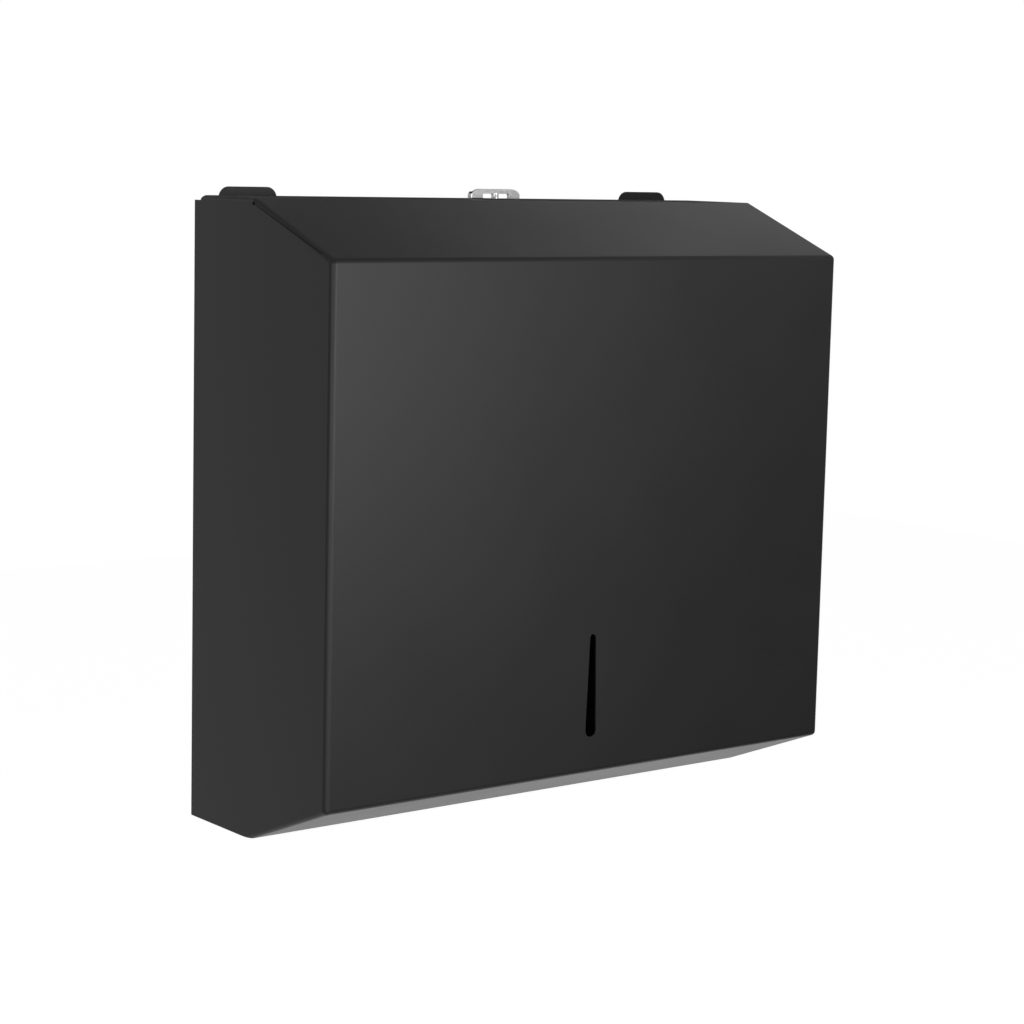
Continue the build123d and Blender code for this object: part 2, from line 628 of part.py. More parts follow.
def make_towel_guide(side):
    """Angle that keeps the stack in the middle: base on the back plate, web towards the front."""
    back = -BACK_SHEET
    inner, outer = side * GUIDE_INNER, side * GUIDE_OUTER
    edges = [(back, GUIDE_FOOT), (back, GUIDE_HEAD), (-GUIDE_DEPTH, GUIDE_HEAD), (-GUIDE_DEPTH, GUIDE_FOOT)]
    web = polygon(edges)
    guide = across(fillet(web.vertices().sort_by(Axis.X)[:2], GUIDE_CORNER), (inner, outer))
    base = sorted((side * (GUIDE_OUTER - GUIDE_BASE), outer))
    guide += slab(base, (back - GUIDE_SHEET, back), (GUIDE_FOOT, GUIDE_HEAD))
    bend = guide.edges().filter_by(Axis.Z).sort_by_distance((outer, back, 0))[0]
    guide = fillet(bend, GUIDE_BEND_RADIUS)
    for hole in rivet_holes(guide_rivet_places()):
        guide -= hole
    return guide


def make_latch_keeper():
    """Bracket on the back plate: base, arm under the cam, and the lip the locked cam sits behind."""
    lip_rear = LATCH_Y - CAM_HUB_RADIUS - KEEPER_LIP_GAP
    lip_top = CAM_TOP + KEEPER_LIP_OVERLAP
    back = -BACK_SHEET
    base_low = KEEPER_ARM_TOP - KEEPER_DROP
    upper_face = [(lip_rear, lip_top), (lip_rear, KEEPER_ARM_TOP), (back, KEEPER_ARM_TOP), (back, base_low)]
    strip = bent_strip(upper_face[::-1], KEEPER_SHEET, KEEPER_BEND)
    keeper = across(strip, (KEEPER_INNER, KEEPER_INNER + KEEPER_ARM))
    base_high = KEEPER_ARM_TOP - KEEPER_SHEET - KEEPER_BEND
    wide = (KEEPER_INNER, KEEPER_INNER + KEEPER_BASE)
    keeper += slab(wide, (back - KEEPER_SHEET, back), (base_low, base_high))
    for hole in rivet_holes(keeper_rivet_places()):
        keeper -= hole
    return keeper


def rivet_group(places, sheet):
    """Rivets from the wall plane through the back plate and one sheet, with low round heads."""
    seat = -BACK_SHEET - sheet
    rivets = []
    for x, z in places:
        head = rod(RIVET_HEAD_RADIUS, (x, seat, z), (x, seat - RIVET_HEAD_HEIGHT, z))
        rim = head.edges().filter_by(GeomType.CIRCLE).sort_by(Axis.Y)[0]
        rivets.append(fillet(rim, RIVET_HEAD_ROUND) + rod(RIVET_RADIUS, (x, 0, z), (x, seat, z)))
    return Compound(rivets)


def make_cover_buffers():
    """Two rubber pads on the top flange's front edge, just under the closed cover."""
    y = (-TOP_FLANGE_DEPTH, BUFFER_DEPTH - TOP_FLANGE_DEPTH)
    z = (PAN_TOP, TOP - COVER_SHEET - BUFFER_GAP)
    pads = []
    for side in SIDES:
        middle = side * BUFFER_X
        pad = slab((middle - BUFFER_WIDTH / 2, middle + BUFFER_WIDTH / 2), y, z)
        pads.append(fillet(pad.edges().filter_by(Axis.Z), BUFFER_CORNER))
    return Compound(pads)


def build_parts():
    """Every piece, by the name of its node."""
    parts = {
        "front_cover": make_front_cover(),
        "lock_bushing": make_lock_bushing(),
        "lock_washer": make_lock_washer(),
        "lock_nut": make_lock_nut(),
        "latch_spindle": make_latch_spindle(),
        "latch_wing": make_latch_wing(),
        "wing_pin": wing_pin_bar(),
        "latch_cam": make_latch_cam(),
        "cam_washer": make_cam_washer(),
        "cam_screw": make_cam_screw(),
        "back_plate": make_back_plate(),
        "towel_tray": make_towel_tray(),
        "tray_rivets": rivet_group(tray_rivet_places(), TRAY_SHEET),
        "guide_rivets": rivet_group(guide_rivet_places(), GUIDE_SHEET),
        "latch_keeper": make_latch_keeper(),
        "keeper_rivets": rivet_group(keeper_rivet_places(), KEEPER_SHEET),
        "cover_buffers": make_cover_buffers(),
    }
    for side, hand in zip(SIDES, ("left", "right")):
        parts[f"{hand}_hinge_stud"] = make_hinge_stud(side)
        parts[f"{hand}_retaining_ring"] = make_retaining_ring(side)
        parts[f"{hand}_stop_pin"] = make_stop_pin(side)
        parts[f"{hand}_hinge_bush"] = make_hinge_bush(side)
        parts[f"{hand}_towel_guide"] = make_towel_guide(side)
    return parts


os.makedirs("parts", exist_ok=True)
for name, part in build_parts().items():
    export_step(part, f"parts/{name}.step")
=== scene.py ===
"""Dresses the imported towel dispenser: finishes, fasteners, latch hardware, studio and camera.

Metres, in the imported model's frame: X runs along the wall, the wall is the plane Y = 0, the cover's
front faces -Y and Z is up. A size whose name ends in _mm is in millimetres and passes through
metres().
"""

import logging
import math
from collections.abc import Mapping
from dataclasses import dataclass
from enum import Enum

import bmesh
import bpy
import numpy as np
from mathutils import Matrix, Quaternion, Vector

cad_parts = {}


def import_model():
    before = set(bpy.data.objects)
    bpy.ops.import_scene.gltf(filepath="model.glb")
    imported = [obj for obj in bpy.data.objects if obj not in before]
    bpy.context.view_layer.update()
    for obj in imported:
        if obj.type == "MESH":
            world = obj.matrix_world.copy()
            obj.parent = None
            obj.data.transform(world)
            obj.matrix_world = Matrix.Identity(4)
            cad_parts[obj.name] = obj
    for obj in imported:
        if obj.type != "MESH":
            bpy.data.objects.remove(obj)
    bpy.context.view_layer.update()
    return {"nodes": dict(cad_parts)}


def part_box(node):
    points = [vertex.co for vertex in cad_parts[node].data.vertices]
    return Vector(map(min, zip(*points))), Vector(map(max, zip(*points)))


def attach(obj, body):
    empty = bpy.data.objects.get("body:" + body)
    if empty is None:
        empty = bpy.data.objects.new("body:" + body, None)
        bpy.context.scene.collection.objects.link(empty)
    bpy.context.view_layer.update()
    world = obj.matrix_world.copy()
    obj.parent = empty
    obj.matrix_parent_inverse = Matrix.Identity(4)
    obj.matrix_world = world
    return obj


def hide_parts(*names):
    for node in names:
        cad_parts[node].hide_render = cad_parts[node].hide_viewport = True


LOG = logging.getLogger("dispenser")
MM = 0.001
MERGE_MM = 0.0005  # points closer than this become one
SLIVER_MM = 0.0001  # edges shorter than this are dissolved
SHARP_DEG = 32.0  # an edge bent further than this is shaded sharp
EDGE_SAMPLES = 4  # rays with which a shader looks for the edges that it rounds

Vec3 = tuple[float, float, float]

FRONT_MIDDLE: Vec3 = (0.0, -0.1, 0.0)  # just behind the middle of the cover's front


class Wrap(Enum):
    """Whether a grid of points closes on itself along one of its two directions."""

    OPEN = "open"
    ROUND = "round"


class Hand(Enum):
    """The two sides of the dispenser, seen from the front."""

    LEFT = "left"
    RIGHT = "right"

    @property
    def sign(self) -> float:
        """-1 on the left and 1 on the right, along X."""
        return -1.0 if self is Hand.LEFT else 1.0


class Body(Enum):
    """The rigid bodies that new pieces ride on."""

    WALL_FRAME = "wall_frame"
    COVER = "cover"


# ---- Small tools: units, colours, nodes and meshes ----


def metres(millimetres: float) -> float:
    """A length in metres."""
    return millimetres * MM


def circle(steps: int) -> np.ndarray:
    """Even angles round one turn, in radians, without the one that closes it."""
    return np.linspace(0, 2 * math.pi, steps, endpoint=False)


def linear(hex_colour: str) -> tuple[float, float, float, float]:
    """Turns an sRGB hex colour into the linear colour that Blender's sockets take.

    A channel c becomes c / 12.92 up to 0.04045, and ((c + 0.055) / 1.055)^2.4 above that.

    Args:
        hex_colour: Six hex digits, such as "#1c1c1d".

    Returns:
        Linear red, green and blue, and an alpha of 1.
    """
    digits = hex_colour.lstrip("#")
    shades = np.array([int(digits[i : i + 2], 16) for i in (0, 2, 4)]) / 255
    low, high = shades / 12.92, ((shades + 0.055) / 1.055) ** 2.4
    red, green, blue = np.where(shades <= 0.04045, low, high)
    return float(red), float(green), float(blue), 1.0


def add_node(
    tree: bpy.types.NodeTree,
    kind: str,
    settings: Mapping[str, object] | None = None,
    inputs: Mapping[str | int, object] | None = None,
) -> bpy.types.Node:
    """Adds one node to a tree, with its settings, values and incoming links.

    Args:
        tree: The node tree of a material or the world.
        kind: The node's Blender type name.
        settings: Attributes of the node itself.
        inputs: Socket name or index to a plain value, or to another node's output socket.

    Returns:
        The new node.
    """
    node = tree.nodes.new(kind)
    for name, value in (settings or {}).items():
        setattr(node, name, value)
    for name, value in (inputs or {}).items():
        if isinstance(value, bpy.types.NodeSocket):
            tree.links.new(value, node.inputs[name])
        else:
            node.inputs[name].default_value = value
    return node


def new_material(name: str) -> tuple[bpy.types.Material, bpy.types.NodeTree]:
    """Makes a material without any node in it.

    Args:
        name: The material's name.

    Returns:
        The material and its empty node tree.
    """
    material = bpy.data.materials.new(name)
    material.use_nodes = True
    material.node_tree.nodes.clear()
    return material, material.node_tree


def seen_directly(tree: bpy.types.NodeTree) -> bpy.types.NodeSocket:
    """Tells the rays by which a thing is seen from those by which it lights other things.

    It is seen by the camera, in a reflection and through glass.

    Args:
        tree: The node tree of a material or the world.

    Returns:
        A socket that is 1 for camera, glossy and transmission rays and 0 for the rest.
    """
    ray = add_node(tree, "ShaderNodeLightPath").outputs
    seen = ray["Is Camera Ray"]
    for kind in ("Is Glossy Ray", "Is Transmission Ray"):
        either = add_node(tree, "ShaderNodeMath", {"operation": "MAXIMUM"}, {0: seen, 1: ray[kind]})
        seen = either.outputs["Value"]
    return seen


def add_object(name: str, data: bpy.types.ID) -> bpy.types.Object:
    """Makes an object of a mesh, a lamp or a camera and links it to the scene.

    Args:
        name: The object's name.
        data: What the object shows or does.

    Returns:
        The object, at the origin.
    """
    thing = bpy.data.objects.new(name, data)
    bpy.context.scene.collection.objects.link(thing)
    return thing


def square_sheet(name: str, side: float, middle: Vector, turn: Quaternion) -> bpy.types.Object:
    """Makes a square of one face: corner c of the level square lies at middle + turn c.

    Args:
        name: The object's name.
        side: Length of its sides, in metres.
        middle: Where its middle is.
        turn: What turns it out of the level.

    Returns:
        The object, at the origin, with its place in its mesh.
    """
    half = side / 2
    corners = [(-half, -half, 0), (half, -half, 0), (half, half, 0), (-half, half, 0)]
    mesh = bpy.data.meshes.new(name)
    mesh.from_pydata([middle + turn @ Vector(corner) for corner in corners], [], [(0, 1, 2, 3)])
    return add_object(name, mesh)


def grid_faces(rows: int, columns: int, across: Wrap, around: Wrap) -> np.ndarray:
    """Quads of a grid of points stored row by row.

    A quad joins point (i, j) to (i, j + 1), (i + 1, j + 1) and (i + 1, j), with i + 1 and j + 1
    taken modulo the number of rows or columns where the grid closes on itself.

    Args:
        rows: Points in the first direction.
        columns: Points in the second direction.
        across: Whether the last row joins the first.
        around: Whether the last column joins the first.

    Returns:
        Vertex indices, one quad a row.
    """
    last_row = rows if across is Wrap.ROUND else rows - 1
    last_column = columns if around is Wrap.ROUND else columns - 1
    i, j = np.meshgrid(np.arange(last_row), np.arange(last_column), indexing="ij")
    below, beside = (i + 1) % rows, (j + 1) % columns
    corners = (
        i * columns + j,
        i * columns + beside,
        below * columns + beside,
        below * columns + j,
    )
    return np.stack(corners, axis=-1).reshape(-1, 4)


def mesh_from_grids(
    name: str, grids: list[np.ndarray], across: Wrap, around: Wrap
) -> bpy.types.Object:
    """Makes one mesh object of several grids of points.

    It is closed at seams and poles, and its faces point outwards.

    Args:
        name: The object's name.
        grids: Arrays of points, rows by columns by 3, in metres.
        across: Whether each grid's last row joins its first.
        around: Whether each grid's last column joins its first.

    Returns:
        The object, at the origin and linked to the scene.
    """
    points = np.concatenate([grid.reshape(-1, 3) for grid in grids])
    starts = np.cumsum([0] + [grid.shape[0] * grid.shape[1] for grid in grids[:-1]])
    faces = [
        grid_faces(*grid.shape[:2], across, around) + start for grid, start in zip(grids, starts)
    ]
    mesh = bpy.data.meshes.new(name)
    mesh.from_pydata(points, [], np.concatenate(faces))
    shape = bmesh.new()
    shape.from_mesh(mesh)
    bmesh.ops.remove_doubles(shape, verts=shape.verts, dist=metres(MERGE_MM))
    bmesh.ops.dissolve_degenerate(shape, dist=metres(SLIVER_MM), edges=shape.edges)
    bmesh.ops.recalc_face_normals(shape, faces=shape.faces)
    shape.to_mesh(mesh)
    shape.free()
    mesh.polygons.foreach_set("use_smooth", np.ones(len(mesh.polygons), bool))
    mesh.set_sharp_from_angle(angle=math.radians(SHARP_DEG))
    return add_object(name, mesh)


def turned(profile: np.ndarray, steps: int, origin: Vector, axis: Vector) -> np.ndarray:
    """Carries a profile round an axis.

    Point (r, h) at angle t lies at origin + h axis + r (u cos t + v sin t), where u and v are
    square to the axis and to each other.

    Args:
        profile: Rows of (radius, height along the axis), in metres, or rows by columns of them
            where they vary with the angle.
        steps: Points round the circle.
        origin: The foot of the axis.
        axis: Direction of the axis.

    Returns:
        Points, one row for each profile point and one column for each angle.
    """
    if profile.ndim == 2:
        profile = np.repeat(profile[:, None, :], steps, axis=1)
    along = np.array(axis.normalized())
    first = np.array(axis.orthogonal().normalized())
    second = np.cross(along, first)
    angle = circle(steps)
    spoke = np.cos(angle)[:, None] * first + np.sin(angle)[:, None] * second
    radius, height = profile[..., 0, None], profile[..., 1, None]
    return np.array(origin) + height * along + radius * spoke[None]


# ---- Finishes ----


@dataclass(frozen=True)
class PowderCoat:
    """Baked polyester powder coat on steel sheet.

    It is matte black, with the fine grain that the powder leaves as it flows out.
    """

    name: str = "matte_black_powder_coat"
    slot: str = "black_powder_coat"
    colour: str = "#151515"
    pale_colour: str = "#191919"
    roughness: float = 0.38
    roughness_swing: float = 0.03
    specular: float = 0.12
    grain_mm: float = 0.45  # real grain is about 0.2 mm; drawn coarser so that it shows
    grain_height_mm: float = 0.012
    cloud_mm: float = 60.0
    edge_mm: float = 0.35

    def material(self) -> bpy.types.Material:
        """Grain in the normal, slow clouds in the roughness and a faint drift of colour.

        Returns:
            The new material.
        """
        material, tree = new_material(self.name)
        place = add_node(tree, "ShaderNodeTexCoord").outputs["Object"]
        grain = add_node(
            tree,
            "ShaderNodeTexNoise",
            inputs={
                "Vector": place,
                "Scale": 1 / metres(self.grain_mm),
                "Detail": 2.0,
                "Roughness": 0.5,
            },
        )
        cloud = add_node(
            tree,
            "ShaderNodeTexNoise",
            inputs={
                "Vector": place,
                "Scale": 1 / metres(self.cloud_mm),
                "Detail": 3.0,
                "Roughness": 0.55,
            },
        )
        dull = add_node(
            tree,
            "ShaderNodeMapRange",
            inputs={
                "Value": cloud.outputs["Fac"],
                "To Min": self.roughness - self.roughness_swing,
                "To Max": self.roughness + self.roughness_swing,
            },
        )
        tint = add_node(
            tree,
            "ShaderNodeMix",
            {"data_type": "RGBA"},
            {
                "Factor": cloud.outputs["Fac"],
                "A": linear(self.colour),
                "B": linear(self.pale_colour),
            },
        )
        edge = add_node(
            tree,
            "ShaderNodeBevel",
            {"samples": EDGE_SAMPLES},
            {"Radius": metres(self.edge_mm)},
        )
        relief = add_node(
            tree,
            "ShaderNodeBump",
            inputs={
                "Height": grain.outputs["Fac"],
                "Distance": metres(self.grain_height_mm),
                "Strength": 1.0,
                "Normal": edge.outputs["Normal"],
            },
        )
        shader = add_node(
            tree,
            "ShaderNodeBsdfPrincipled",
            inputs={
                "Base Color": tint.outputs["Result"],
                "Roughness": dull.outputs["Result"],
                "Specular IOR Level": self.specular,
                "Normal": relief.outputs["Normal"],
            },
        )
        add_node(tree, "ShaderNodeOutputMaterial", inputs={"Surface": shader.outputs["BSDF"]})
        return material


@dataclass(frozen=True)
class Metal:
    """A bare or plated metal: coloured reflections, broken up by brushing or grain."""

    name: str
    slot: str
    colour: str
    roughness: float
    line_mm: float  # spacing of the brushing or grain
    relief_mm: float
    stretch: Vec3 = (1.0, 1.0, 1.0)  # how much longer the grain is along X, Y and Z
    roughness_swing: float = 0.06
    edge_mm: float = 0.2

    def material(self) -> bpy.types.Material:
        """Grain in the normal and in the roughness, so that reflections break up along it.

        Returns:
            The new material.
        """
        material, tree = new_material(self.name)
        place = add_node(tree, "ShaderNodeTexCoord").outputs["Object"]
        squeezed = add_node(
            tree,
            "ShaderNodeVectorMath",
            {"operation": "MULTIPLY"},
            {0: place, 1: tuple(1 / length for length in self.stretch)},
        )
        grain = add_node(
            tree,
            "ShaderNodeTexNoise",
            inputs={
                "Vector": squeezed.outputs["Vector"],
                "Scale": 1 / metres(self.line_mm),
                "Detail": 3.0,
            },
        )
        dull = add_node(
            tree,
            "ShaderNodeMapRange",
            inputs={
                "Value": grain.outputs["Fac"],
                "To Min": self.roughness - self.roughness_swing,
                "To Max": self.roughness + self.roughness_swing,
            },
        )
        edge = add_node(
            tree,
            "ShaderNodeBevel",
            {"samples": EDGE_SAMPLES},
            {"Radius": metres(self.edge_mm)},
        )
        relief = add_node(
            tree,
            "ShaderNodeBump",
            inputs={
                "Height": grain.outputs["Fac"],
                "Distance": metres(self.relief_mm),
                "Normal": edge.outputs["Normal"],
            },
        )
        shader = add_node(
            tree,
            "ShaderNodeBsdfPrincipled",
            inputs={
                "Base Color": linear(self.colour),
                "Metallic": 1.0,
                "Roughness": dull.outputs["Result"],
                "Normal": relief.outputs["Normal"],
            },
        )
        add_node(tree, "ShaderNodeOutputMaterial", inputs={"Surface": shader.outputs["BSDF"]})
        return material


@dataclass(frozen=True)
class Moulding:
    """A moulded plastic or rubber: a dielectric, with the fine texture of the mould."""

    name: str
    slot: str
    colour: str
    roughness: float
    texture_mm: float
    relief_mm: float
    milkiness: float = 0.0  # share of the light that goes in and comes out beside where it entered
    milky_depth_mm: float = 1.0

    def material(self) -> bpy.types.Material:
        """Mould texture in the normal, and a little light let into the surface where it is milky.

        Returns:
            The new material.
        """
        material, tree = new_material(self.name)
        place = add_node(tree, "ShaderNodeTexCoord").outputs["Object"]
        texture = add_node(
            tree,
            "ShaderNodeTexNoise",
            inputs={"Vector": place, "Scale": 1 / metres(self.texture_mm), "Detail": 2.0},
        )
        relief = add_node(
            tree,
            "ShaderNodeBump",
            inputs={"Height": texture.outputs["Fac"], "Distance": metres(self.relief_mm)},
        )
        shader = add_node(
            tree,
            "ShaderNodeBsdfPrincipled",
            inputs={
                "Base Color": linear(self.colour),
                "Roughness": self.roughness,
                "Subsurface Weight": self.milkiness,
                "Subsurface Scale": metres(self.milky_depth_mm),
                "Normal": relief.outputs["Normal"],
            },
        )
        add_node(tree, "ShaderNodeOutputMaterial", inputs={"Surface": shader.outputs["BSDF"]})
        return material


Finish = PowderCoat | Metal | Moulding

POWDER_COAT = PowderCoat()

# Nickel and chrome on pressed steel or brass: bright, with a trace of the polishing lines.
BRIGHT_PLATE = Metal(
    name="bright_nickel_chrome_plate",
    slot="bright_chrome",
    colour="#9d9ea0",
    roughness=0.2,
    line_mm=0.25,
    relief_mm=0.003,
    stretch=(14.0, 1.0, 1.0),
)

# Clear zinc plating: duller and slightly blue, with a fine crystal grain.
ZINC_PLATE = Metal(
    name="clear_zinc_plate",
    slot="zinc_plated_steel",
    colour="#b9bcc2",
    roughness=0.34,
    line_mm=0.5,
    relief_mm=0.006,
)

# Aluminium as it leaves the rivet press: pale and satin.
RIVET_METAL = Metal(
    name="pressed_aluminium",
    slot="rivet_aluminium",
    colour="#c9cacb",
    roughness=0.3,
    line_mm=0.3,
    relief_mm=0.005,
)

# Natural nylon: milky, so it takes a little light in.
NYLON = Moulding(
    name="natural_nylon_moulding",
    slot="natural_nylon",
    colour="#ddd8c8",
    roughness=0.42,
    texture_mm=0.4,
    relief_mm=0.006,
    milkiness=0.3,
)

# Moulded rubber: deep black and dull.
RUBBER = Moulding(
    name="black_moulded_rubber",
    slot="buffer_rubber",
    colour="#161616",
    roughness=0.78,
    texture_mm=0.3,
    relief_mm=0.02,
)


class Paintwork:
    """Keeps one material for each finish and puts them on pieces."""

    def __init__(self) -> None:
        """Starts with no material made."""
        self._made: dict[str, bpy.types.Material] = {}

    def put(self, piece: bpy.types.Object, finish: Finish) -> None:
        """Gives a piece its finish, in every material slot that it has.

        Args:
            piece: A CAD node or a new piece.
            finish: What it is finished in.
        """
        if finish.name not in self._made:
            self._made[finish.name] = finish.material()
        material = self._made[finish.name]
        if not piece.data.materials:
            piece.data.materials.append(material)
        for index in range(len(piece.data.materials)):
            piece.data.materials[index] = material


# ---- Sub-assemblies ----


@dataclass
class Dresser:
    """What a sub-assembly needs to dress its nodes and to stand new pieces for them."""

    nodes: dict[str, bpy.types.Object]
    paint: Paintwork

    def keep(self, name: str, finish: Finish) -> None:
        """Shows a CAD node as it is, with its finish."""
        self.paint.put(self.nodes[name], finish)
        LOG.info("%s keeps its solid, in %s", name, finish.name)

    def stand_for(self, piece: bpy.types.Object, node: str, body: Body, finish: Finish) -> None:
        """Shows a new piece in place of a CAD node.

        Args:
            piece: The new piece, in its place.
            node: The CAD node that it stands for.
            body: The body that it rides on.
            finish: What it is finished in.
        """
        self.paint.put(piece, finish)
        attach(piece, body.value)
        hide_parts(node)
        count = len(piece.data.polygons)
        LOG.info("%s stands for %s, with %d faces, in %s", piece.name, node, count, finish.name)


@dataclass
class Cabinet:
    """The sheet metal: cover, back plate, tray, guides and keeper, all bent and powder coated."""

    dresser: Dresser
    sheets: tuple[str, ...] = (
        "front_cover",
        "back_plate",
        "towel_tray",
        "left_towel_guide",
        "right_towel_guide",
        "latch_keeper",
    )

    def dress(self) -> None:
        """Gives each sheet its powder coat."""
        for name in self.sheets:
            self.dresser.keep(name, POWDER_COAT)


@dataclass
class Fasteners:
    """Blind rivets: a low domed head, with the pit that the broken mandrel leaves in its middle."""

    dresser: Dresser
    head_radius_mm: float = 3.5
    head_height_mm: float = 1.2
    shank_radius_mm: float = 1.95
    pit_radius_mm: float = 1.0
    pit_depth_mm: float = 0.75
    lip_mm: float = 0.15  # width of the bevel round the pit's mouth
    lip_fall: float = 0.1  # depth of that bevel, as a share of the pit's radius
    pit_corner: float = 0.2  # bevel round the pit's floor, as a share of its radius
    head_reach: float = 2.2  # in head radii; a solid's points closer than this are one rivet's
    dome_rings: int = 12
    steps: int = 40

    def head_profile(self, shank: float) -> np.ndarray:
        """Outline of a rivet from its middle over the dome to the shank's end.

        The dome is an ellipse, h = H sqrt(1 - (r / R)^2), cut off at the lip of the pit.

        Args:
            shank: Length of the shank behind the head, in metres.

        Returns:
            Rows of (radius, height above the seat), in metres.
        """
        radius, height = metres(self.head_radius_mm), metres(self.head_height_mm)
        hole, lip = metres(self.pit_radius_mm), metres(self.pit_radius_mm + self.lip_mm)
        tilt = np.linspace(math.asin(lip / radius), math.pi / 2, self.dome_rings)
        dome = np.column_stack((radius * np.sin(tilt), height * np.cos(tilt)))
        mouth = dome[0, 1]
        floor = mouth - metres(self.pit_depth_mm)
        pit = [
            (0, floor),
            ((1 - self.pit_corner) * hole, floor),
            (hole, floor + self.pit_corner * hole),
            (hole, mouth - self.lip_fall * hole),
        ]
        core = metres(self.shank_radius_mm)
        tail = [(core, 0), (core, -shank), (0, -shank)]
        return np.concatenate((pit, dome, tail))

    def dress(self, node: str) -> None:
        """Stands new rivets for a group of CAD rivets, one at each.

        Args:
            node: A CAD node that holds several rivets on axes along Y.
        """
        places, seat = self.rivet_places(node)
        profile = self.head_profile(abs(seat))
        outwards = Vector((0, -1, 0))
        grids = [turned(profile, self.steps, Vector((x, seat, z)), outwards) for x, z in places]
        piece = mesh_from_grids(f"{node}_domed", grids, Wrap.OPEN, Wrap.ROUND)
        self.dresser.stand_for(piece, node, Body.WALL_FRAME, RIVET_METAL)

    def rivet_places(self, node: str) -> tuple[list[tuple[float, float]], float]:
        """Finds each rivet's axis from its solid: points that lie close together are one rivet's.

        Args:
            node: The CAD node.

        Returns:
            (x, z) of each axis and the y of the heads' seats, in metres.
        """
        mesh = self.dresser.nodes[node].data
        points = np.empty(len(mesh.vertices) * 3, np.float32)
        mesh.vertices.foreach_get("co", points)
        points = points.reshape(-1, 3)
        seat = float(points[:, 1].min()) + metres(self.head_height_mm)
        reach = self.head_reach * metres(self.head_radius_mm)
        places: list[tuple[float, float]] = []
        left = points[:, [0, 2]]
        while len(left):
            near = np.hypot(*(left - left[0]).T) < reach
            group = left[near]
            x, z = (group.min(0) + group.max(0)) / 2
            places.append((float(x), float(z)))
            left = left[~near]
        return places, seat


@dataclass
class Hinges:
    """Studs, bushes, push-on rings and stop pins at the lower rear corners."""

    dresser: Dresser
    bore_mm: float = 2.5
    teeth: int = 6
    tooth_gap_mm: float = 0.55
    tooth_squareness: float = 6.0  # the higher, the steeper the teeth's sides
    ring_sheet_mm: float = 0.3
    rows: int = 7
    steps: int = 96

    def star_ring(self, hand: Hand) -> bpy.types.Object:
        """A push-on ring: a dished disc whose inner edge is cut into teeth that bite the stud.

        The inner radius is r + g (1 + tanh(k cos(n t))) / 2, which swings between the teeth's tips
        and the gaps between them. At the share s of the way in, the disc has risen by the dish
        times s^2.

        Args:
            hand: The side of the dispenser.

        Returns:
            The ring, in its place.
        """
        low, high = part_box(f"{hand.value}_retaining_ring")
        middle, outer, thick = (low + high) / 2, (high.z - low.z) / 2, high.x - low.x
        sheet = metres(self.ring_sheet_mm)
        dish = thick - sheet
        wave = np.tanh(self.tooth_squareness * np.cos(self.teeth * circle(self.steps)))
        bore = metres(self.bore_mm) + metres(self.tooth_gap_mm) * (1 + wave) / 2
        share = np.linspace(0, 1, self.rows)[:, None]
        radius = outer + (bore - outer) * share
        rise = np.broadcast_to(dish * share**2, radius.shape)
        face = np.stack((radius, rise + sheet), axis=-1)
        back = np.stack((radius, rise), axis=-1)[::-1]
        foot = Vector((low.x if hand is Hand.RIGHT else high.x, middle.y, middle.z))
        outwards = Vector((hand.sign, 0, 0))
        grid = turned(np.concatenate((face, back)), self.steps, foot, outwards)
        return mesh_from_grids(f"{hand.value}_star_ring", [grid], Wrap.ROUND, Wrap.ROUND)

    def dress(self) -> None:
        """Finishes the hinge hardware on both sides."""
        for hand in Hand:
            self.dresser.keep(f"{hand.value}_hinge_stud", ZINC_PLATE)
            self.dresser.keep(f"{hand.value}_stop_pin", ZINC_PLATE)
            self.dresser.keep(f"{hand.value}_hinge_bush", NYLON)
            ring = self.star_ring(hand)
            self.dresser.stand_for(ring, f"{hand.value}_retaining_ring", Body.COVER, ZINC_PLATE)


